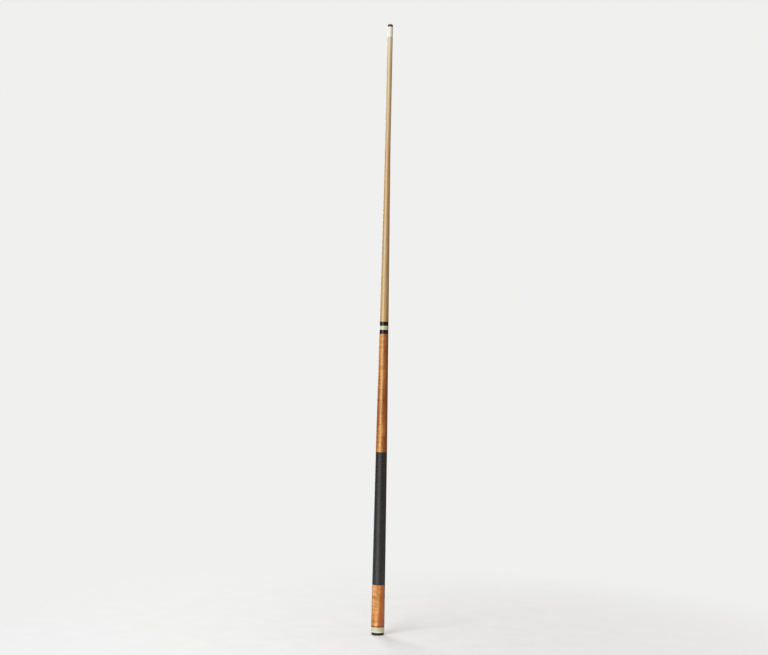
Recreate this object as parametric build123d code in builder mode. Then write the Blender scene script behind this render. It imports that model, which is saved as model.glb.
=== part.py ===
import os

from build123d import *

# A two-piece pool cue standing on its rubber bumper, tip up, in millimetres.
# +Z runs along the cue's axis from butt to tip. The origin is the centre of
# the bumper's bottom face. Every height below is counted from there.

# ---- driving dimensions, from the bottom up ----
bumper_height = 6.3
cap_height = 12.6
sleeve_length = 100.6
wrap_length = 317.8
butt_length = 740.6
joint_band_length = 9.8  # each of the three bands: black, cream, black
overall_length = 1473.2
ferrule_length = 24.8
pad_thickness = 0.9
tip_height = 6.4

# ---- diameters ----
cap_diameter = 32.2
wrap_bottom_diameter = 30.9
wrap_top_diameter = 27.2
joint_diameter = 21.4
tip_diameter = 13.0
straight_length = 260.0  # the part of the shaft below the ferrule that has no taper

# ---- what is hidden inside ----
tenon_radius = 9.5  # handle core inside the butt sleeve and the cap
ring_bore_radius = 8.5  # rings at the joint
wrap_thickness = 0.9
ferrule_tenon_radius = 3.97
ferrule_tenon_length = 21.0
turning_clearance = 0.05  # shaft tenon inside the shaft collar, stem inside the cap
thread_clearance = 0.3  # pin crests inside the insert
pin_radius = 4.7625  # 3/8 inch joint thread, ten turns to the inch
pin_root_radius = 4.0
pin_pitch = 2.54
pin_reach = 31.75  # how far the pin stands out of the butt
pin_depth = 32.0  # how far it goes into the forearm
pin_nose = 1.6
pin_end_clearance = 3.0  # shaft bore beyond the pin's end
insert_radius = 7.0
insert_root_radius = 6.7
insert_recess = 0.5
insert_length = 30.5
stud_radius = 3.97
stud_root_radius = 3.4
stud_pitch = 1.411
stud_half_length = 25.0
weight_bore_radius = 7.2
weight_radius = 7.0
weight_root_radius = 6.2
weight_pitch = 1.954
weight_length = 95.0
weight_seat = 26.0  # height of the weight bolt's lower end
weight_bore_top = 128.0
hex_socket_radius = 4.6  # across corners
hex_socket_depth = 8.0

# ---- one ridge of a thread or a ribbed stem, as shares of its pitch ----
ridge_start = 0.15
crest_start = 0.40
crest_end = 0.65
ridge_end = 0.90

# ---- bumper ----
bumper_radius = 14.9
bumper_edge = 1.6
stem_length = 12.0
stem_root_radius = 6.5
stem_rib_pitch = 4.0
groove_inner_radius = 5.0
groove_outer_radius = 8.5
groove_depth = 0.8

# ---- tip ----
dome_radius = 9.0
edge_break = 0.25  # fine bevel where two turned pieces meet and come apart
cap_edge = 1.1

# ---- heights worked out from the dimensions above ----
cap_bottom = bumper_height
sleeve_bottom = cap_bottom + cap_height
wrap_bottom = sleeve_bottom + sleeve_length
wrap_top = wrap_bottom + wrap_length
joint_face = butt_length
collar_bottom = joint_face - joint_band_length
ring_bottom = collar_bottom - joint_band_length
shaft_collar_top = joint_face + joint_band_length
tip_bottom = overall_length - tip_height
ferrule_top = tip_bottom - pad_thickness
ferrule_bottom = ferrule_top - ferrule_length
taper_end = ferrule_bottom - straight_length
tenon_bottom = cap_bottom + cap_height / 2
stem_radius = weight_bore_radius - turning_clearance
insert_top = joint_face + insert_recess + insert_length
pin_top = joint_face + pin_reach

# The cue's outside as heights and radii, thick at the butt and thin at the tip.
TAPER = [
    (cap_bottom, cap_diameter / 2),
    (wrap_bottom, wrap_bottom_diameter / 2),
    (wrap_top, wrap_top_diameter / 2),
    (joint_face, joint_diameter / 2),
    (taper_end, tip_diameter / 2),
    (overall_length, tip_diameter / 2),
]

os.makedirs("parts", exist_ok=True)


def taper_radius(height):
    """Outside radius of the cue at a height, along the straight runs of TAPER."""
    for (low, low_radius), (high, high_radius) in zip(TAPER, TAPER[1:]):
        if height <= high:
            share = (height - low) / (high - low)
            return low_radius + share * (high_radius - low_radius)
    return TAPER[-1][1]


def half_section(outline):
    """The face inside a half outline of (radius, height) points, ready to be turned."""
    with BuildSketch(Plane.XZ) as section:
        with BuildLine():
            Polyline(*outline, close=True)
        make_face()
    return section.sketch


def ring_outline(bottom, top, bore, bottom_break=0.0, top_break=0.0):
    """Half outline of a ring that follows the taper, with a fine bevel at either end."""
    outline = [(bore, bottom), (taper_radius(bottom) - bottom_break, bottom)]
    if bottom_break:
        outline.append((taper_radius(bottom + bottom_break), bottom + bottom_break))
    if top_break:
        outline.append((taper_radius(top - top_break), top - top_break))
    outline += [(taper_radius(top) - top_break, top), (bore, top)]
    return outline


def thread_outline(bottom, top, bore, root, crest, pitch):
    """Half outline of a threaded rod or tube, with one ring-shaped ridge per pitch."""
    outline = [(bore, bottom), (root, bottom)]
    for turn in range(int((top - bottom) / pitch)):
        foot = bottom + turn * pitch
        outline.append((root, foot + ridge_start * pitch))
        outline.append((crest, foot + crest_start * pitch))
        outline.append((crest, foot + crest_end * pitch))
        outline.append((root, foot + ridge_end * pitch))
    outline += [(root, top), (bore, top)]
    return outline


def finish(part, name):
    """Label a finished piece and write it to parts/."""
    part.label = name
    export_step(part, f"parts/{name}.step")


# ======== butt half ========

# Rubber bumper: a disc with a rounded edge, a moulded groove and a ribbed push-in stem.
with BuildPart() as bumper:
    stem_top = bumper_height + stem_length
    revolve(half_section(
        [
            (0, 0),
            (bumper_radius, 0),
            (bumper_radius, bumper_height),
            (0, bumper_height),
        ]
    ), axis=Axis.Z)
    fillet(bumper.edges().filter_by(GeomType.CIRCLE).sort_by(Axis.Z)[0], bumper_edge)
    with BuildSketch(Plane.XY):
        Circle(groove_outer_radius)
        Circle(groove_inner_radius, mode=Mode.SUBTRACT)
    extrude(amount=groove_depth, mode=Mode.SUBTRACT)
    revolve(half_section(
        thread_outline(
            bumper_height, stem_top, 0, stem_root_radius, stem_radius, stem_rib_pitch
        )
    ), axis=Axis.Z)
finish(bumper.part, "bumper")

# Butt cap: bored for the bumper's stem below and for the handle's tenon above.
with BuildPart() as butt_cap:
    revolve(half_section(ring_outline(cap_bottom, sleeve_bottom, weight_bore_radius)), axis=Axis.Z)
    bottom_circles = butt_cap.edges().filter_by(GeomType.CIRCLE).group_by(Axis.Z)[0]
    fillet(bottom_circles.sort_by(SortBy.RADIUS)[-1], cap_edge)
    with BuildSketch(Plane.XY.offset(tenon_bottom)):
        Circle(tenon_radius)
    extrude(amount=cap_height, mode=Mode.SUBTRACT)
finish(butt_cap.part, "butt_cap")

# Butt sleeve: figured wood, bored through and glued over the handle's tenon.
with BuildPart() as butt_sleeve:
    revolve(half_section(ring_outline(sleeve_bottom, wrap_bottom, tenon_radius)), axis=Axis.Z)
finish(butt_sleeve.part, "butt_sleeve")

# Handle: the core under the wrap, with a long tenon down to the cap.
with BuildPart() as handle:
    revolve(half_section(
        [
            (0, tenon_bottom),
            (tenon_radius, tenon_bottom),
            (tenon_radius, wrap_bottom),
            (taper_radius(wrap_bottom) - wrap_thickness, wrap_bottom),
            (taper_radius(wrap_top) - wrap_thickness, wrap_top),
            (0, wrap_top),
        ]
    ), axis=Axis.Z)
    with BuildSketch(Plane.XY.offset(tenon_bottom)):
        Circle(weight_bore_radius)
    extrude(amount=weight_bore_top - tenon_bottom, mode=Mode.SUBTRACT)
    with BuildSketch(Plane.XY.offset(wrap_top - stud_half_length)):
        Circle(stud_radius)
    extrude(amount=stud_half_length, mode=Mode.SUBTRACT)
finish(handle.part, "handle")

# Wrap: a close layer of thread in a shallow groove, level with the wood at both ends.
with BuildPart() as wrap:
    revolve(half_section(
        [
            (taper_radius(wrap_bottom) - wrap_thickness, wrap_bottom),
            (taper_radius(wrap_bottom), wrap_bottom),
            (taper_radius(wrap_top), wrap_top),
            (taper_radius(wrap_top) - wrap_thickness, wrap_top),
        ]
    ), axis=Axis.Z)
finish(wrap.part, "wrap")

# Weight bolt: sets the cue's weight and is turned with a hex key through the cap.
with BuildPart() as weight_bolt:
    revolve(half_section(
        thread_outline(
            weight_seat,
            weight_seat + weight_length,
            0,
            weight_root_radius,
            weight_radius,
            weight_pitch,
        )
    ), axis=Axis.Z)
    with BuildSketch(Plane.XY.offset(weight_seat)):
        RegularPolygon(radius=hex_socket_radius, side_count=6)
    extrude(amount=hex_socket_depth, mode=Mode.SUBTRACT)
finish(weight_bolt.part, "weight_bolt")

# Forearm: figured wood, stepped down at the top for the two rings.
with BuildPart() as forearm:
    revolve(half_section(
        [
            (0, wrap_top),
            (taper_radius(wrap_top), wrap_top),
            (taper_radius(ring_bottom), ring_bottom),
            (ring_bore_radius, ring_bottom),
            (ring_bore_radius, joint_face),
            (0, joint_face),
        ]
    ), axis=Axis.Z)
    with BuildSketch(Plane.XY.offset(wrap_top)):
        Circle(stud_radius)
    extrude(amount=stud_half_length, mode=Mode.SUBTRACT)
    with BuildSketch(Plane.XY.offset(joint_face - pin_depth)):
        Circle(pin_radius)
    extrude(amount=pin_depth, mode=Mode.SUBTRACT)
finish(forearm.part, "forearm")

# Stud that draws the forearm down on the handle.
with BuildPart() as forearm_stud:
    revolve(half_section(
        thread_outline(
            wrap_top - stud_half_length,
            wrap_top + stud_half_length,
            0,
            stud_root_radius,
            stud_radius,
            stud_pitch,
        )
    ), axis=Axis.Z)
finish(forearm_stud.part, "forearm_stud")

# The two rings at the top of the butt: black below, cream above.
with BuildPart() as joint_ring:
    revolve(half_section(ring_outline(ring_bottom, collar_bottom, ring_bore_radius)), axis=Axis.Z)
finish(joint_ring.part, "joint_ring")

with BuildPart() as joint_collar:
    outline = ring_outline(collar_bottom, joint_face, ring_bore_radius, top_break=edge_break)
    revolve(half_section(outline), axis=Axis.Z)
finish(joint_collar.part, "joint_collar")

# Joint pin: half of it is fixed in the forearm and half stands out, with a pointed nose.
with BuildPart() as joint_pin:
    revolve(half_section(
        thread_outline(
            joint_face - pin_depth,
            pin_top - pin_nose,
            0,
            pin_root_radius,
            pin_radius,
            pin_pitch,
        )
    ), axis=Axis.Z)
    nose_base = pin_top - pin_nose
    revolve(half_section(
        [
            (0, nose_base),
            (pin_root_radius, nose_base),
            (pin_root_radius / 2, pin_top),
            (0, pin_top),
        ]
    ), axis=Axis.Z)
finish(joint_pin.part, "joint_pin")

# ======== shaft half ========

# Collar at the bottom of the shaft, a running fit on the shaft's tenon.
with BuildPart() as shaft_collar:
    outline = ring_outline(joint_face, shaft_collar_top, ring_bore_radius, bottom_break=edge_break)
    revolve(half_section(outline), axis=Axis.Z)
finish(shaft_collar.part, "shaft_collar")

# Shaft: one length of maple, with a tenon at each end and a stepped bore at the bottom.
with BuildPart() as shaft:
    collar_tenon_radius = ring_bore_radius - turning_clearance
    revolve(half_section(
        [
            (0, joint_face),
            (collar_tenon_radius, joint_face),
            (collar_tenon_radius, shaft_collar_top),
            (taper_radius(shaft_collar_top), shaft_collar_top),
            (taper_radius(taper_end), taper_end),
            (taper_radius(ferrule_bottom), ferrule_bottom),
            (ferrule_tenon_radius, ferrule_bottom),
            (ferrule_tenon_radius, ferrule_bottom + ferrule_tenon_length),
            (0, ferrule_bottom + ferrule_tenon_length),
        ]
    ), axis=Axis.Z)
    with BuildSketch(Plane.XY.offset(joint_face)):
        Circle(insert_radius)
    extrude(amount=insert_top - joint_face, mode=Mode.SUBTRACT)
    with BuildSketch(Plane.XY.offset(insert_top)):
        Circle(pin_radius + thread_clearance)
    extrude(amount=pin_top + pin_end_clearance - insert_top, mode=Mode.SUBTRACT)
finish(shaft.part, "shaft")

# Threaded insert that takes the joint pin, set just inside the shaft's face.
with BuildPart() as shaft_insert:
    revolve(half_section(
        thread_outline(
            joint_face + insert_recess,
            insert_top,
            pin_radius + thread_clearance,
            insert_root_radius,
            insert_radius,
            pin_pitch,
        )
    ), axis=Axis.Z)
finish(shaft_insert.part, "shaft_insert")

# Ferrule: a capped tube on the shaft's top tenon.
with BuildPart() as ferrule:
    revolve(half_section(ring_outline(ferrule_bottom, ferrule_top, 0)), axis=Axis.Z)
    with BuildSketch(Plane.XY.offset(ferrule_bottom)):
        Circle(ferrule_tenon_radius)
    extrude(amount=ferrule_tenon_length, mode=Mode.SUBTRACT)
finish(ferrule.part, "ferrule")

# Fibre pad between ferrule and tip.
with BuildPart() as tip_pad:
    revolve(half_section(ring_outline(ferrule_top, tip_bottom, 0)), axis=Axis.Z)
finish(tip_pad.part, "tip_pad")

# Leather tip: straight sides and a domed top.
with BuildPart() as tip:
    tip_radius = taper_radius(overall_length)
    dome_drop = dome_radius - (dome_radius**2 - tip_radius**2) ** 0.5
    dome_edge = (tip_radius, overall_length - dome_drop)
    dome_top = (0, overall_length)
    with BuildSketch(Plane.XZ):
        with BuildLine():
            Polyline(dome_top, (0, tip_bottom), (tip_radius, tip_bottom), dome_edge)
            RadiusArc(dome_edge, dome_top, -dome_radius)
        make_face()
    revolve(axis=Axis.Z)
finish(tip.part, "tip")
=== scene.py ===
import math

import bpy
import numpy as np
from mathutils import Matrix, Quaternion, Vector, noise


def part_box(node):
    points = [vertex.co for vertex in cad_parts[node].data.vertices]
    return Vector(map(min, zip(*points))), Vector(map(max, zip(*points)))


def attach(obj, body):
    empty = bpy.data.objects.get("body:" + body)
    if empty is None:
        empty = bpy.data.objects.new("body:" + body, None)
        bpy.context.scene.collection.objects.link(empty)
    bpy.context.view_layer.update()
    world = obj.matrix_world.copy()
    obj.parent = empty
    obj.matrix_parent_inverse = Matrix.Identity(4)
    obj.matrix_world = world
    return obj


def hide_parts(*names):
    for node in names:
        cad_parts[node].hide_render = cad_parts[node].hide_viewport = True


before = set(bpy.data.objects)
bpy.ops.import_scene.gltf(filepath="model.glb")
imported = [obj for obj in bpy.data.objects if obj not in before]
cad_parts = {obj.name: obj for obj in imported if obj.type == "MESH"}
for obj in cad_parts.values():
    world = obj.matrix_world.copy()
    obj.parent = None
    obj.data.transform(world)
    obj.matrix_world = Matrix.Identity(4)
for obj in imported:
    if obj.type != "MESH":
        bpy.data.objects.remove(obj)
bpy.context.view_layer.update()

# A two-piece pool cue that stands upright on its bumper. Everything is in metres.
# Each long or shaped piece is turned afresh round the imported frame, with a mesh fine
# enough to look round close up. The small plain rings, the ferrule, its pad and the
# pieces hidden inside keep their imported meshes, apart from the threaded joint pin.

MM = 0.001

# ---- sizes that the frame's boxes don't say ----
STRAIGHT_LENGTH = 260 * MM  # untapered stretch of the shaft below the ferrule
FERRULE_TENON = 3.97 * MM  # radii of the shaft's tenons, above and below
SHAFT_TENON = 8.45 * MM
RING_BORE = 8.5 * MM  # radius of the forearm's tenon through the rings
SLEEVE_BORE = 9.5 * MM
PIN_CLEARANCE = 0.3 * MM  # round the pin in the shaft's bore
PIN_END_ROOM = 3 * MM  # from the pin's nose to the end of that bore
PIN_PITCH = 2.54 * MM
PIN_DEPTH = 0.75 * MM
WRAP_DEPTH = 0.9 * MM
THREAD_PITCH = 0.65 * MM  # linen thread, one close layer
THREAD_VALLEY = 0.085 * MM

# ---- fineness of the meshes ----
TURNED_SIDES = 128
TIP_SIDES = 96
FLOOR_SIDES = 96
WRAP_SIDES = 44
PIN_SIDES = 64
SHARP_ANGLE = math.radians(35)  # edges that fold more than this stay sharp
ON_AXIS = 1e-7  # a smaller radius is a point on the axis
SAME_HEIGHT = 1e-9  # heights closer than this are the same


def low(node):
    """Height of a node's lower end."""
    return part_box(node)[0].z


def high(node):
    """Height of a node's upper end."""
    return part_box(node)[1].z


def radius(node):
    """Largest radius of a node about the cue's axis."""
    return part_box(node)[1].x


STRAIGHT_START = low("ferrule") - STRAIGHT_LENGTH

# The cue's outside as heights and radii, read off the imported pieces.
TAPER = [
    (low("butt_cap"), radius("butt_cap")),
    (low("wrap"), radius("wrap")),
    (low("forearm"), radius("forearm")),
    (low("shaft_collar"), radius("shaft_collar")),
    (STRAIGHT_START, radius("ferrule")),
    (high("tip"), radius("ferrule")),
]


def taper(height):
    """Outside radius of the cue at a height."""
    return float(np.interp(height, *zip(*TAPER)))


# ======== meshes ========


def new_piece(name, vertices, faces, body, slot, *nodes):
    """A smooth-shaded mesh that rides on a body and stands for CAD nodes."""
    mesh = bpy.data.meshes.new(name)
    mesh.from_pydata(vertices, [], faces)
    mesh.polygons.foreach_set("use_smooth", [True] * len(mesh.polygons))
    mesh.set_sharp_from_angle(angle=SHARP_ANGLE)
    mesh.update()
    piece = bpy.data.objects.new(name, mesh)
    bpy.context.scene.collection.objects.link(piece)
    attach(piece, body)
    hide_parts(*nodes)
    return piece


def circle(sides):
    """Cosine and sine of each side's angle round the axis."""
    turn = 2 * math.pi / sides
    return [(math.cos(i * turn), math.sin(i * turn)) for i in range(sides)]


def add_face(faces, corners):
    """Add a face without its repeated corners, if at least three are left."""
    corners = list(dict.fromkeys(corners))
    if len(corners) > 2:
        faces.append(corners)


def add_ring(vertices, r, z, sides):
    """Add a ring of vertices, or one vertex if it is on the axis. Returns its loop."""
    start = len(vertices)
    if r < ON_AXIS:
        vertices.append((0.0, 0.0, z))
        return [start] * sides
    vertices += [(r * c, r * s, z) for c, s in circle(sides)]
    return list(range(start, start + sides))


def turned(outline, sides=TURNED_SIDES):
    """Vertices and faces of a closed outline of (radius, height) points turned about Z.

    The outline runs anticlockwise with the radius to the right and the height up,
    so that the faces look outwards."""
    vertices, faces = [], []
    loops = [add_ring(vertices, r, z, sides) for r, z in outline]
    for here, there in zip(loops, loops[1:] + loops[:1]):
        for i in range(sides):
            j = (i + 1) % sides
            add_face(faces, [here[i], here[j], there[j], there[i]])
    return vertices, faces


def rounded(corner, before, after, size, steps):
    """Points of a soft curve that takes off a corner of an outline, size along each side."""
    (x, z), ends = corner, []
    for p in (before, after):
        d = math.hypot(p[0] - x, p[1] - z)
        ends.append((x + (p[0] - x) * size / d, z + (p[1] - z) * size / d))
    start, end = ends
    curve = []
    for k in range(steps + 1):
        t = k / steps
        a, b, c = (1 - t) ** 2, 2 * t * (1 - t), t * t
        curve.append((a * start[0] + b * x + c * end[0], a * start[1] + b * z + c * end[1]))
    return curve


def wound(bottom, top, pitch, profile, sides, base, depth):
    """A surface with a right-handed helical ridge between two heights, open at its ends.

    profile holds the ridge's height at even steps across one pitch, from 0 at the bottom
    of the groove to 1 at the crest. base(height) is the crest's radius. Returns the
    vertices, the faces and the vertex loops at the bottom and at the top."""
    per_turn = len(profile)
    directions = circle(sides)
    rows = int(math.ceil((top - bottom) / pitch * per_turn)) + 2 * per_turn + 1
    index, vertices, faces = {}, [], []

    def vertex(row, side):
        z = bottom + pitch * ((row - per_turn) / per_turn + side / sides)
        if z <= bottom + SAME_HEIGHT:
            key, z, sink = (side, "low"), bottom, depth
        elif z >= top - SAME_HEIGHT:
            key, z, sink = (side, "high"), top, depth
        else:
            key, sink = (side, row), depth * (1 - profile[row % per_turn])
        if key not in index:
            r = base(z) - sink
            c, s = directions[side]
            index[key] = len(vertices)
            vertices.append((r * c, r * s, z))
        return index[key]

    for row in range(rows):
        for side in range(sides):
            # the last side joins the first one, a whole pitch higher up
            if side + 1 < sides:
                beside, across = side + 1, row
            else:
                beside, across = 0, row + per_turn
            quad = [(row, side), (across, beside), (across + 1, beside), (row + 1, side)]
            add_face(faces, [vertex(*corner) for corner in quad])
    lows = [index[side, "low"] for side in range(sides)]
    highs = [index[side, "high"] for side in range(sides)]
    return vertices, faces, lows, highs


def close_with(vertices, faces, loop, rings, upward):
    """Carry a wound surface on from an end loop through further (radius, height) rings.

    A ring of radius 0 closes it in one vertex. Returns the last loop."""
    sides = len(loop)
    for r, z in rings:
        ring = add_ring(vertices, r, z, sides)
        for i in range(sides):
            j = (i + 1) % sides
            corners = [loop[i], loop[j], ring[j], ring[i]]
            add_face(faces, corners if upward else corners[::-1])
        loop = ring
    return loop


def bridge(faces, lower, upper):
    """Faces between two loops, looking towards the axis."""
    sides = len(lower)
    for i in range(sides):
        j = (i + 1) % sides
        faces.append([lower[j], lower[i], upper[i], upper[j]])


# ======== pieces ========


def make_shaft():
    """Maple shaft with its tenons, and the stepped bore for the insert and the pin."""
    bottom, top = low("shaft"), high("shaft")
    shoulder = high("shaft_collar")
    ferrule_bottom = low("ferrule")
    insert_top, insert_radius = high("shaft_insert"), radius("shaft_insert")
    bore_top = high("joint_pin") + PIN_END_ROOM
    bore = radius("joint_pin") + PIN_CLEARANCE
    outline = [
        (0, bore_top),
        (bore, bore_top),
        (bore, insert_top),
        (insert_radius, insert_top),
        (insert_radius, bottom),
        (SHAFT_TENON, bottom),
        (SHAFT_TENON, shoulder),
        (taper(shoulder), shoulder),
        (taper(STRAIGHT_START), STRAIGHT_START),
        (taper(ferrule_bottom), ferrule_bottom),
        (FERRULE_TENON, ferrule_bottom),
        (FERRULE_TENON, top),
        (0, top),
    ]
    return new_piece("shaft_wood", *turned(outline), "shaft", "shaft_maple", "shaft")


def make_forearm():
    """Figured forearm, stepped down for the rings, bored from its ends for stud and pin."""
    bottom, top = low("forearm"), high("forearm")
    shoulder = low("joint_ring")
    stud, stud_top = radius("forearm_stud"), high("forearm_stud")
    pin, pin_bottom = radius("joint_pin"), low("joint_pin")
    outline = [
        (0, stud_top),
        (stud, stud_top),
        (stud, bottom),
        (taper(bottom), bottom),
        (taper(shoulder), shoulder),
        (RING_BORE, shoulder),
        (RING_BORE, top),
        (pin, top),
        (pin, pin_bottom),
        (0, pin_bottom),
    ]
    return new_piece("forearm_wood", *turned(outline), "butt", "forearm_maple", "forearm")


def make_butt_sleeve():
    """Figured sleeve over the handle's tenon."""
    bottom, top = low("butt_sleeve"), high("butt_sleeve")
    outline = [
        (SLEEVE_BORE, bottom),
        (taper(bottom), bottom),
        (taper(top), top),
        (SLEEVE_BORE, top),
    ]
    return new_piece(
        "butt_sleeve_wood", *turned(outline), "butt", "sleeve_maple", "butt_sleeve"
    )


def make_wrap():
    """Linen thread wound in one close layer: a helical ridge from end to end."""
    bottom, top = low("wrap"), high("wrap")
    profile = (0.0, 0.72, 1.0, 0.72)
    vertices, faces, lows, highs = wound(
        bottom, top, THREAD_PITCH, profile, WRAP_SIDES, taper, THREAD_VALLEY
    )
    inner_low = (taper(bottom) - WRAP_DEPTH, bottom)
    inner_high = (taper(top) - WRAP_DEPTH, top)
    upper = close_with(vertices, faces, highs, [inner_high], True)
    lower = close_with(vertices, faces, lows, [inner_low], False)
    bridge(faces, lower, upper)
    return new_piece("linen_wrap", vertices, faces, "butt", "wrap_linen", "wrap")


def make_joint_pin():
    """Steel joint pin with a real helical thread and a rounded nose."""
    bottom, top = low("joint_pin"), high("joint_pin")
    crest = radius("joint_pin")
    root = crest - PIN_DEPTH
    nose, nose_steps = 1.6 * MM, 6
    foot_height, foot_bevel = 0.6 * MM, 0.5 * MM
    profile = (0.0, 0.0, 0.5, 1.0, 1.0, 1.0, 0.5, 0.0)
    vertices, faces, lows, highs = wound(
        bottom + foot_height,
        top - nose,
        PIN_PITCH,
        profile,
        PIN_SIDES,
        lambda z: crest,
        PIN_DEPTH,
    )
    dome = []
    for step in range(1, nose_steps):
        angle = step / nose_steps * math.pi / 2
        dome.append((root * math.cos(angle), top - nose + nose * math.sin(angle)))
    dome.append((0.0, top))
    close_with(vertices, faces, highs, dome, True)
    close_with(vertices, faces, lows, [(root - foot_bevel, bottom), (0.0, bottom)], False)
    return new_piece("threaded_joint_pin", vertices, faces, "butt", "steel", "joint_pin")


def make_bumper():
    """Rubber bumper: soft rolled edge, moulded groove below and a ribbed stem above."""
    disc_top, stem_top = low("butt_cap"), high("bumper")
    edge = radius("bumper")
    groove_in, groove_out = 5.0 * MM, 8.5 * MM
    groove_depth, groove_slope = 0.8 * MM, 0.3 * MM
    foot_round, top_round = 1.9 * MM, 0.5 * MM
    crest, root = 7.15 * MM, 6.5 * MM
    rib_pitch = 4.0 * MM
    rib = ((0.15, root), (0.4, crest), (0.65, crest), (0.9, root))  # shares of a pitch
    whole = 0.01  # share of a pitch that rounding may take off the last rib
    outline = [
        (0, 0),
        (groove_in, 0),
        (groove_in + groove_slope, groove_depth),
        (groove_out - groove_slope, groove_depth),
        (groove_out, 0),
    ]
    outline += rounded((edge, 0), (0, 0), (edge, disc_top), foot_round, steps=8)
    outline += rounded((edge, disc_top), (edge, 0), (0, disc_top), top_round, steps=4)
    outline.append((root, disc_top))
    for k in range(int((stem_top - disc_top) / rib_pitch + whole)):
        outline += [(r, disc_top + (k + share) * rib_pitch) for share, r in rib]
    outline += [(root, stem_top), (0, stem_top)]
    return new_piece("rubber_bumper", *turned(outline), "bumper", "bumper_rubber", "bumper")


def make_tip():
    """Leather tip: burnished sides, domed and slightly uneven playing surface."""
    bottom, top = low("tip"), high("tip")
    edge = radius("ferrule")
    dome, dome_rings = 9.0 * MM, 14
    shoulder = top - (dome - math.sqrt(dome**2 - edge**2))
    foot_bevel, waist = 0.15 * MM, 1.6 * MM
    side_end = shoulder - 0.35 * MM  # from here the side rounds over to the crown's edge
    rounding_in, rounding_height = 0.05 * MM, shoulder - 0.1 * MM
    crown_edge = edge - 0.2 * MM
    outline = [
        (0, bottom),
        (edge - foot_bevel, bottom),
        (edge, bottom + foot_bevel),
        (edge, bottom + waist),
        (edge, side_end),
        (edge - rounding_in, rounding_height),
    ]
    for k in range(dome_rings + 1):
        r = crown_edge * (1 - k / dome_rings)
        outline.append((r, top - dome + math.sqrt(dome**2 - r**2)))
    vertices, faces = turned(outline, TIP_SIDES)
    scuff_start, scuff_depth = shoulder - 0.2 * MM, 0.05 * MM
    coarse, fine = 900, 2600  # scuffs per metre
    scuffed = []
    for x, y, z in vertices:
        if z > scuff_start:
            at = Vector((x, y, z))
            rough = noise.noise(at * coarse) + 0.5 * noise.noise(at * fine)
            z = min(top, z - scuff_depth * abs(rough))
        scuffed.append((x, y, z))
    return new_piece("leather_tip", scuffed, faces, "shaft", "tip_leather", "tip")


# ======== materials ========


def tone(code):
    """Linear colour from an sRGB hex code."""
    values = [int(code[i : i + 2], 16) / 255 for i in (0, 2, 4)]
    linear = [v / 12.92 if v <= 0.04045 else ((v + 0.055) / 1.055) ** 2.4 for v in values]
    return (*linear, 1.0)


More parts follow.
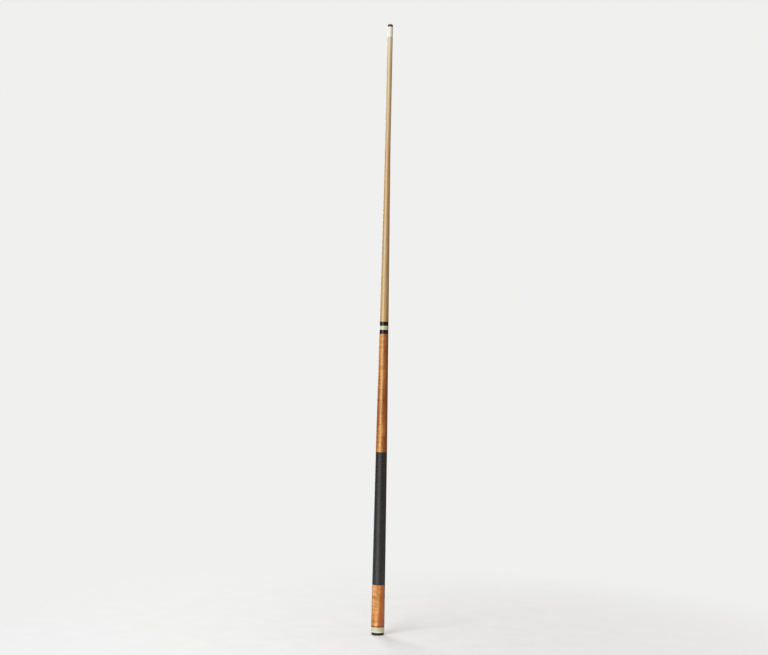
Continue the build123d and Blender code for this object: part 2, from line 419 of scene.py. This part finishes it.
class Graph:
    """Builds one material's nodes, a line per node. Colours are sRGB hex codes.

    Textures lie in the object's own coordinates. cells holds a texture's cells per
    metre along X, Y and Z, so that few cells along Z draw it out along the cue."""

    def __init__(self, name):
        self.material = bpy.data.materials.new(name)
        self.material.use_nodes = True
        self.tree = self.material.node_tree
        self.shader = self.tree.nodes["Principled BSDF"]
        self.position = self.add("ShaderNodeTexCoord").outputs["Object"]

    def add(self, kind, inputs=None, **settings):
        """A node with its settings, and with values or other nodes' outputs as inputs."""
        node = self.tree.nodes.new(kind)
        for key, value in settings.items():
            setattr(node, key, value)
        for key, value in (inputs or {}).items():
            self.put(node.inputs[key], value)
        return node

    def put(self, socket, value):
        """Link an output to a socket, or set its value or colour."""
        if isinstance(value, bpy.types.NodeSocket):
            self.tree.links.new(value, socket)
        elif isinstance(value, str):
            socket.default_value = tone(value)
        else:
            socket.default_value = value

    def stretch(self, cells, shift):
        inputs = {"Vector": self.position, "Scale": cells, "Location": shift}
        return self.add("ShaderNodeMapping", inputs).outputs["Vector"]

    def noise(self, cells, detail, rough=0.5, distortion=0.0, shift=(0, 0, 0)):
        inputs = {"Vector": self.stretch(cells, shift), "Scale": 1.0, "Detail": detail}
        inputs |= {"Roughness": rough, "Distortion": distortion}
        return self.add("ShaderNodeTexNoise", inputs).outputs["Fac"]

    def waves(self, kind, scale, distortion, details, cells=(1, 1, 1), shift=(0, 0, 0)):
        """Sine waves: BANDS that follow each other along Z, or RINGS round the Z axis.

        details holds the number of octaves in their distortion, and its scale."""
        inputs = {"Vector": self.stretch(cells, shift), "Scale": scale}
        inputs |= {"Distortion": distortion, "Detail": details[0], "Detail Scale": details[1]}
        settings = {"wave_type": kind, "wave_profile": "SIN", f"{kind.lower()}_direction": "Z"}
        return self.add("ShaderNodeTexWave", inputs, **settings).outputs["Fac"]

    def math(self, operation, a, b=0.0):
        node = self.add("ShaderNodeMath", operation=operation)
        self.put(node.inputs[0], a)
        self.put(node.inputs[1], b)
        return node.outputs["Value"]

    def plus(self, a, b):
        return self.math("ADD", a, b)

    def times(self, a, b):
        return self.math("MULTIPLY", a, b)

    def between(self, value, from_low, from_high, to_low=0.0, to_high=1.0):
        """Value mapped from one range to another and held at its ends."""
        inputs = {"Value": value, "From Min": from_low, "From Max": from_high}
        inputs |= {"To Min": to_low, "To Max": to_high}
        return self.add("ShaderNodeMapRange", inputs, clamp=True).outputs["Result"]

    def spread(self, texture, to_low, to_high):
        """The values that a texture mostly has, 0.3 to 0.7, mapped to a range."""
        return self.between(texture, 0.3, 0.7, to_low, to_high)

    def ramp(self, value, *stops):
        """Colour ramp of (position, colour) stops."""
        node = self.add("ShaderNodeValToRGB", {"Fac": value})
        points = node.color_ramp.elements
        while len(points) < len(stops):
            points.new(0.5)
        for point, (position, colour) in zip(points, stops):
            point.position = position
            point.color = tone(colour)
        return node.outputs["Color"]

    def two_tone(self, texture, a, b):
        """Two colours, blended over the values that a texture mostly has."""
        return self.ramp(texture, (0.3, a), (0.7, b))

    def mix(self, amount, a, b, blend="MIX"):
        node = self.add("ShaderNodeMix", data_type="RGBA", blend_type=blend)
        self.put(node.inputs["Factor"], amount)
        self.put(node.inputs["A"], a)
        self.put(node.inputs["B"], b)
        return node.outputs["Result"]

    def tint(self, colour, other, value, start, full, depth, blend="MIX"):
        """Colour mixed with another: not at all where value is start, by depth at full."""
        return self.mix(self.between(value, start, full, 0.0, depth), colour, other, blend)

    def along(self, axis):
        """The position along an axis. Z is the height along the cue."""
        return self.add("ShaderNodeSeparateXYZ", {"Vector": self.position}).outputs[axis]

    def bump(self, height, strength, distance):
        inputs = {"Height": height, "Strength": strength, "Distance": distance}
        return self.add("ShaderNodeBump", inputs).outputs["Normal"]

    def finish(self, colour, roughness, normal=None, **uniform):
        """Connect the shader. uniform holds values that are the same all over."""
        self.put(self.shader.inputs["Base Color"], colour)
        self.put(self.shader.inputs["Roughness"], roughness)
        if normal is not None:
            self.put(self.shader.inputs["Normal"], normal)
        for key, value in uniform.items():
            socket = key.replace("_", " ").title().replace("Ior", "IOR")
            self.shader.inputs[socket].default_value = value
        return self.material


def shaft_maple():
    """Pale straight-grained maple, sealed and waxed, whiter towards the tip.

    Its side towards +X, away from the key light, is multiplied browner: painted shade."""
    g = Graph("shaft_maple")
    growth = g.waves("RINGS", 150, 5.5, (3, 0.35), (1, 1, 0.05), (0.055, 0.021, 0))
    streaks = g.noise((420, 420, 7), detail=5, rough=0.62)
    fibres = g.noise((5200, 5200, 60), detail=2)
    flecks = g.between(g.noise((2600, 2600, 190), detail=1), 0.66, 0.78)
    wood = g.ramp(streaks, (0.32, "a9814e"), (0.5, "bd9864"), (0.68, "ceb17f"))
    wood = g.tint(wood, "976836", growth, 0.6, 1.0, 0.35)
    wood = g.tint(wood, "d0bb8b", fibres, 0.3, 0.7, 0.2)
    wood = g.mix(g.times(flecks, 0.35), wood, "80562c")
    # painted shade: from about 6 mm towards +X, the side away from the key light, the wood is
    # multiplied browner along a wavy edge
    shade_side_wobble = g.times(g.noise((70, 70, 5), detail=2), 6 * MM)
    side = g.plus(g.along("X"), shade_side_wobble)
    wood = g.tint(wood, "dcae7c", side, 6 * MM, 13.5 * MM, 0.8, "MULTIPLY")
    pale = g.between(g.along("Z"), 1.15, 1.35, 0.0, 0.35)
    near_tip = g.between(g.along("Z"), 1.36, 1.44, 0.0, 0.45)
    wood = g.mix(g.plus(pale, near_tip), wood, "d8cbab")
    roughness = g.spread(streaks, 0.42, 0.52)
    normal = g.bump(g.plus(fibres, g.times(flecks, -0.8)), 0.25, 0.04 * MM)
    return g.finish(
        wood, roughness, normal, specular_ior_level=1.0, coat_weight=0.25, coat_roughness=0.3
    )


def curly_maple(name, pale, mid, dark, deep, shade_side_colour, glow, curl_depth, painted_shade_side, lines, seed):
    """Stained maple under gloss lacquer: long streaks crossed by a soft curl.

    glow is the linear colour of its sheen. The side towards +X, away from the key light, gets a
    painted shade in a redder colour: a tuple holds the distances from the axis, towards +X,
    where it starts and is full, and its depth.
    lines lists (height, half width, depth) of the darker lines across the grain."""
    g = Graph(name)
    shift = (0.31 * seed, 0.17 * seed, 0.53 * seed)
    streaks = g.noise((130, 130, 9), detail=5, rough=0.62, shift=shift)
    fibres = g.noise((1900, 1900, 24), detail=4, rough=0.65, shift=shift)
    curl = g.waves("BANDS", 31, 14, (3, 1.4), (0.8, 0.8, 1), shift)
    mottle = g.noise((85, 85, 110), detail=3, rough=0.55, shift=shift)
    strength = g.between(g.noise((24, 24, 17), detail=1, shift=shift), 0.35, 0.65, 0.1, 1.0)
    wood = g.ramp(streaks, (0.38, dark), (0.5, mid), (0.62, pale))
    wood = g.tint(wood, dark, fibres, 0.42, 0.72, 0.4)
    figure = g.plus(g.times(curl, 0.35), g.times(mottle, 0.65))
    shade = g.times(g.between(figure, 0.5, 0.26), strength)
    shine = g.times(g.between(figure, 0.52, 0.78), strength)
    wood = g.mix(g.times(shade, curl_depth), wood, deep)
    wood = g.mix(g.times(shine, curl_depth), wood, pale)
    # painted shade: the side towards +X, away from the key light, is mixed towards a redder,
    # darker colour along a wavy edge
    shade_side_start, shade_side_full, shade_side_depth = painted_shade_side
    shade_side_wobble = g.times(g.noise((60, 60, 26), detail=3, shift=shift), 12 * MM)
    side = g.plus(g.along("X"), g.plus(shade_side_wobble, -6 * MM))
    wood = g.tint(wood, shade_side_colour, side, shade_side_start, shade_side_full, shade_side_depth)
    wavy = g.times(g.noise((70, 70, 20), detail=2, shift=shift), 6 * MM)
    height = g.plus(g.along("Z"), g.plus(wavy, -3 * MM))
    patchy = g.between(g.noise((110, 110, 40), detail=2, shift=shift), 0.4, 0.6, 0.35, 1.0)
    for centre, half_width, depth in lines:
        away = g.math("ABSOLUTE", g.plus(height, -centre))
        line = g.between(away, 0.0, half_width, depth, 0.0)
        wood = g.mix(g.times(line, patchy), wood, deep)
    roughness = g.spread(fibres, 0.48, 0.6)
    normal = g.bump(g.plus(fibres, figure), 0.12, 0.05 * MM)
    return g.finish(
        wood,
        roughness,
        normal,
        specular_ior_level=1.0,
        specular_tint=glow,
        coat_weight=0.25,
        coat_roughness=0.16,
    )


def core_maple():
    """Bare turned maple of the handle's core."""
    g = Graph("core_maple")
    grain = g.noise((900, 900, 10), detail=4, rough=0.6)
    tool_marks = g.waves("BANDS", 420, 1.0, (1, 1))
    wood = g.two_tone(grain, "b98f5d", "d3b384")
    normal = g.bump(g.plus(grain, g.times(tool_marks, 0.5)), 0.3, 0.05 * MM)
    return g.finish(wood, 0.6, normal)


def black_resin():
    """Polished black resin with a faint swirl and hairline scratches."""
    g = Graph("black_resin")
    swirl = g.noise((160, 160, 110), detail=5, rough=0.6, distortion=1.6)
    scratches = g.noise((700, 700, 5200), detail=2)
    colour = g.ramp(swirl, (0.35, "0a0a0b"), (0.7, "191a1b"))
    roughness = g.between(scratches, 0.35, 0.75, 0.36, 0.46)
    normal = g.bump(scratches, 0.05, 0.02 * MM)
    return g.finish(
        colour, roughness, normal, specular_ior_level=0.25, coat_weight=0.15, coat_roughness=0.1
    )


def cream_resin(name, edge=None):
    """Cream cast resin with fine clouding, drawn out round the cue.

    A piece that stands on its lower edge, at a height of edge, gets a painted highlight there:
    a paler band along that edge."""
    g = Graph(name)
    cloud = g.noise((230, 230, 320), detail=5, rough=0.6, distortion=1.2)
    veins = g.noise((420, 420, 900), detail=4, rough=0.6, distortion=2.0)
    colour = g.ramp(cloud, (0.3, "bab594"), (0.52, "c6c3a3"), (0.75, "d1cfb4"))
    colour = g.tint(colour, "ada57f", veins, 0.55, 0.7, 0.35)
    if edge is not None:
        # painted highlight: up to about 2 mm above the lower edge, with a ragged top, the resin
        # is mixed paler, as if the rounded edge caught the light
        ragged = g.times(g.noise((500, 500, 160), detail=4), 1.6 * MM)
        near_edge = g.math("SUBTRACT", g.along("Z"), ragged)
        rubbed = g.between(near_edge, edge + 0.2 * MM, edge + 2.2 * MM, 0.85, 0.0)
        colour = g.mix(rubbed, colour, "f1efdf")
    roughness = g.spread(cloud, 0.36, 0.46)
    normal = g.bump(veins, 0.04, 0.02 * MM)
    return g.finish(
        colour,
        roughness,
        normal,
        subsurface_weight=0.08,
        subsurface_radius=(1.0, 0.9, 0.7),
        subsurface_scale=2 * MM,
        coat_weight=0.4,
        coat_roughness=0.08,
    )


def ferrule_white():
    """White ferrule, polished, with chalk caught at its upper edge."""
    g = Graph("ferrule_white")
    cloud = g.noise((300, 300, 200), detail=4)
    rubbed = g.noise((900, 900, 350), detail=3)
    scratches = g.noise((600, 600, 6000), detail=1)
    top = high("ferrule")
    colour = g.two_tone(cloud, "e0e0d4", "ebebe1")
    near_top = g.between(g.along("Z"), top - 6 * MM, top)
    chalk = g.times(g.math("POWER", near_top, 3.0), g.between(rubbed, 0.35, 0.65))
    colour = g.mix(g.times(chalk, 0.35), colour, "9fadb4")
    roughness = g.spread(rubbed, 0.34, 0.46)
    normal = g.bump(scratches, 0.05, 0.02 * MM)
    return g.finish(
        colour,
        roughness,
        normal,
        subsurface_weight=0.3,
        subsurface_radius=(1.0, 0.95, 0.85),
        subsurface_scale=3 * MM,
        coat_weight=0.25,
        coat_roughness=0.1,
    )


def tip_leather():
    """Layered leather: dark burnished sides, paler scuffed top with worn-in chalk."""
    g = Graph("tip_leather")
    pores = g.noise((2400, 2400, 2400), detail=4, rough=0.65)
    layers = g.waves("BANDS", 420, 1.2, (2, 1.5))
    patches = g.noise((520, 520, 520), detail=3)
    top = high("tip")
    side = g.ramp(layers, (0.2, "27221f"), (0.8, "3e3733"))
    crown = g.ramp(patches, (0.35, "4d4744"), (0.65, "6e6765"))
    crown = g.tint(crown, "6f7f8c", patches, 0.5, 0.68, 0.45)
    on_crown = g.between(g.along("Z"), top - 2.8 * MM, top - 1.4 * MM)
    colour = g.mix(on_crown, side, crown)
    colour = g.tint(colour, "1c1917", pores, 0.55, 0.75, 0.5)
    roughness = g.between(on_crown, 0.0, 1.0, 0.42, 0.92)
    normal = g.bump(g.plus(pores, g.times(layers, 0.35)), 0.5, 0.12 * MM)
    return g.finish(colour, roughness, normal)


def pad_fibre():
    """Hard vulcanised fibre pad."""
    g = Graph("pad_fibre")
    fibre = g.noise((3000, 3000, 5000), detail=3)
    colour = g.two_tone(fibre, "2a0f0d", "4a1c17")
    return g.finish(colour, 0.5, g.bump(fibre, 0.3, 0.04 * MM))


def wrap_linen():
    """Pressed black linen, waxed smooth, its thread spun from paler and darker fibre."""
    g = Graph("wrap_linen")
    fibre = g.noise((2600, 2600, 4200), detail=4, rough=0.7)
    flecks = g.noise((700, 700, 2300), detail=3, rough=0.65)
    slubs = g.noise((190, 190, 420), detail=3, rough=0.6)
    colour = g.two_tone(fibre, "0a0a0b", "161617")
    colour = g.tint(colour, "323337", flecks, 0.5, 0.68, 0.45)
    colour = g.tint(colour, "303137", slubs, 0.46, 0.62, 0.65)
    roughness = g.spread(fibre, 0.42, 0.58)
    normal = g.bump(fibre, 0.35, 0.06 * MM)
    return g.finish(colour, roughness, normal, specular_ior_level=0.58)


def steel():
    """Turned stainless steel."""
    g = Graph("turned_steel")
    lathe = g.noise((500, 500, 9000), detail=2)
    colour = g.two_tone(lathe, "a9abab", "cfd0ce")
    roughness = g.spread(lathe, 0.2, 0.34)
    return g.finish(colour, roughness, g.bump(lathe, 0.15, 0.03 * MM), metallic=1.0)


def brass():
    """Turned brass with a little dulling."""
    g = Graph("turned_brass")
    lathe = g.noise((400, 400, 8000), detail=2)
    dull = g.noise((260, 260, 260), detail=3)
    colour = g.two_tone(dull, "a8813f", "d9b566")
    roughness = g.spread(lathe, 0.25, 0.42)
    return g.finish(colour, roughness, g.bump(lathe, 0.15, 0.03 * MM), metallic=1.0)


def bumper_rubber():
    """Moulded black rubber, dusty on its lower edge."""
    g = Graph("bumper_rubber")
    grain = g.noise((3800, 3800, 3800), detail=3)
    dust = g.noise((240, 240, 500), detail=4)
    near_floor = g.between(g.along("Z"), 0.0, 2.2 * MM, 1.0, 0.0)
    colour = g.two_tone(grain, "101110", "1e201f")
    amount = g.times(near_floor, g.between(dust, 0.4, 0.7, 0.0, 0.45))
    colour = g.mix(amount, colour, "5b5c57")
    roughness = g.spread(grain, 0.55, 0.75)
    return g.finish(colour, roughness, g.bump(grain, 0.35, 0.06 * MM), specular_ior_level=0.4)


def paint(piece, material):
    """One material all over a piece or a carried-over CAD node."""
    piece.data.materials.clear()
    piece.data.materials.append(material)


# ======== floor, light, camera ========


def make_floor():
    """Pale floor that fades into the pale surroundings further out.

    It goes down with the bumper when the bumper is drawn out."""
    reach, solid = 1.2, 0.2  # radii where the floor ends and where it starts to fade
    vertices = [(reach * c, reach * s, 0.0) for c, s in circle(FLOOR_SIDES)]
    mesh = bpy.data.meshes.new("floor")
    mesh.from_pydata(vertices, [], [list(range(FLOOR_SIDES))])
    floor = bpy.data.objects.new("floor", mesh)
    bpy.context.scene.collection.objects.link(floor)
    g = Graph("pale_floor")
    speckle = g.noise((14, 14, 14), detail=5)
    colour = g.ramp(speckle, (0.35, "e6ebf1"), (0.65, "eaeff5"))
    material = g.finish(colour, 0.8, specular_ior_level=0.2)
    away = g.add("ShaderNodeVectorMath", operation="LENGTH")
    g.put(away.inputs[0], g.position)
    faded = g.between(away.outputs["Value"], solid, reach)
    blend = g.add("ShaderNodeMixShader", {"Fac": faded})
    g.put(blend.inputs[1], g.shader.outputs["BSDF"])
    g.put(blend.inputs[2], g.add("ShaderNodeBsdfTransparent").outputs["BSDF"])
    g.put(g.tree.nodes["Material Output"].inputs["Surface"], blend.outputs["Shader"])
    paint(floor, material)
    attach(floor, "bumper")


def aim(thing, target, roll=0.0):
    """Point a light or a camera at a target, rolled by an angle about its line of sight."""
    thing.rotation_mode = "QUATERNION"
    upright = (Vector(target) - thing.location).to_track_quat("-Z", "Y")
    thing.rotation_quaternion = upright @ Quaternion((0, 0, 1), roll)


def area_light(name, target, where, width, height, power, colour):
    """Soft rectangular light that faces a point."""
    light = bpy.data.lights.new(name, "AREA")
    light.shape = "RECTANGLE"
    light.size = width
    light.size_y = height
    light.energy = power
    light.color = colour
    lamp = bpy.data.objects.new(name, light)
    lamp.location = where
    aim(lamp, target)
    bpy.context.scene.collection.objects.link(lamp)


def make_world():
    """Pale surroundings to look at, and a much weaker warm light from all round."""
    world = bpy.data.worlds.new("studio")
    world.use_nodes = True
    tree = world.node_tree
    ambient = tree.nodes["Background"]
    ambient.inputs["Color"].default_value = (1.0, 0.7, 0.45, 1.0)
    ambient.inputs["Strength"].default_value = 0.17
    backdrop = tree.nodes.new("ShaderNodeBackground")
    backdrop.inputs["Color"].default_value = (0.87, 0.87, 0.865, 1.0)
    choose = tree.nodes.new("ShaderNodeMixShader")
    rays = tree.nodes.new("ShaderNodeLightPath")
    tree.links.new(rays.outputs["Is Camera Ray"], choose.inputs[0])
    tree.links.new(ambient.outputs["Background"], choose.inputs[1])
    tree.links.new(backdrop.outputs["Background"], choose.inputs[2])
    tree.links.new(choose.outputs["Shader"], tree.nodes["World Output"].inputs["Surface"])
    bpy.context.scene.world = world


def make_light(middle):
    """Tall soft key from the left front, lights behind and above, warm fill on the right.

    Each light has its place, width, height, power in watts and colour."""
    make_world()
    area_light("key", middle, (-1.33, -3.04, 1.3), 2.2, 3.0, 124, (0.95, 0.99, 0.975))
    area_light("back", middle, (-1.5, 2.4, 1.6), 1.4, 2.2, 45, (1.0, 0.99, 0.97))
    area_light("top", middle, (0.0, 0.0, 3.4), 1.0, 1.0, 45, (1.0, 1.0, 1.0))
    area_light("fill", middle, (3.2, 0.2, 1.1), 1.8, 2.6, 15, (1.0, 0.72, 0.45))


def make_camera(middle):
    """Camera a little to the right of the cue and just below its middle.

    It is rolled slightly, so that the upright cue leans in the picture."""
    camera = bpy.data.objects.new("camera", bpy.data.cameras.new("camera"))
    camera.data.lens = 68.5
    camera.data.sensor_width = 36
    camera.location = (0.607, -3.47, 0.637)
    aim(camera, middle, math.radians(1.2))
    bpy.context.scene.collection.objects.link(camera)
    bpy.context.scene.camera = camera


# ======== the cue ========

paint(make_shaft(), shaft_maple())
paint(
    make_forearm(),
    curly_maple(
        "forearm_maple",
        pale="d69b50",
        mid="bd783b",
        dark="904820",
        deep="6a2c12",
        # colour of the painted shade on the +X side, away from the key light
        shade_side_colour="7a2c0c",
        glow=(1.0, 0.85, 0.5, 1.0),
        curl_depth=0.3,
        # where that painted shade starts and is full, and its depth
        painted_shade_side=(1 * MM, 10 * MM, 0.85),
        lines=[
            (0.689, 2 * MM, 0.35),
            (0.636, 2 * MM, 0.2),
            (0.6095, 2 * MM, 0.25),
            (0.562, 3.5 * MM, 0.9),
            (0.5025, 2 * MM, 0.4),
            (0.4715, 3 * MM, 0.4),
            (0.461, 3 * MM, 0.4),
            (0.4467, 2 * MM, 0.35),
        ],
        seed=9.0,
    ),
)
paint(
    make_butt_sleeve(),
    curly_maple(
        "sleeve_maple",
        pale="eab96a",
        mid="d48b40",
        dark="ad5619",
        deep="6c270a",
        # colour of the painted shade on the +X side, away from the key light
        shade_side_colour="a13a06",
        glow=(1.0, 0.91, 0.64, 1.0),
        curl_depth=0.5,
        # where that painted shade starts and is full, and its depth
        painted_shade_side=(0.0, 13 * MM, 0.8),
        # the last line darkens the sleeve's lowest few millimetres, next to the cap
        lines=[(0.0893, 5 * MM, 0.7), (0.034, 6 * MM, 0.6), (0.0204, 3.6 * MM, 2.0)],
        seed=8.0,
    ),
)
paint(make_wrap(), wrap_linen())
paint(make_tip(), tip_leather())
paint(make_bumper(), bumper_rubber())

steel_material = steel()
paint(make_joint_pin(), steel_material)
black = black_resin()
for node, material in (
    ("shaft_collar", black),
    ("joint_ring", black),
    ("joint_collar", cream_resin("collar_cream")),
    # the cap's paler lower edge is a painted highlight
    ("butt_cap", cream_resin("cap_cream", low("butt_cap"))),
    ("ferrule", ferrule_white()),
    ("tip_pad", pad_fibre()),
    ("shaft_insert", brass()),
    ("forearm_stud", steel_material),
    ("weight_bolt", steel_material),
    ("handle", core_maple()),
):
    paint(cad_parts[node], material)

make_floor()
cue_middle = (0.0, 0.0, high("tip") / 2)
make_light(cue_middle)
make_camera(cue_middle)
bpy.context.scene.view_settings.view_transform = "Standard"
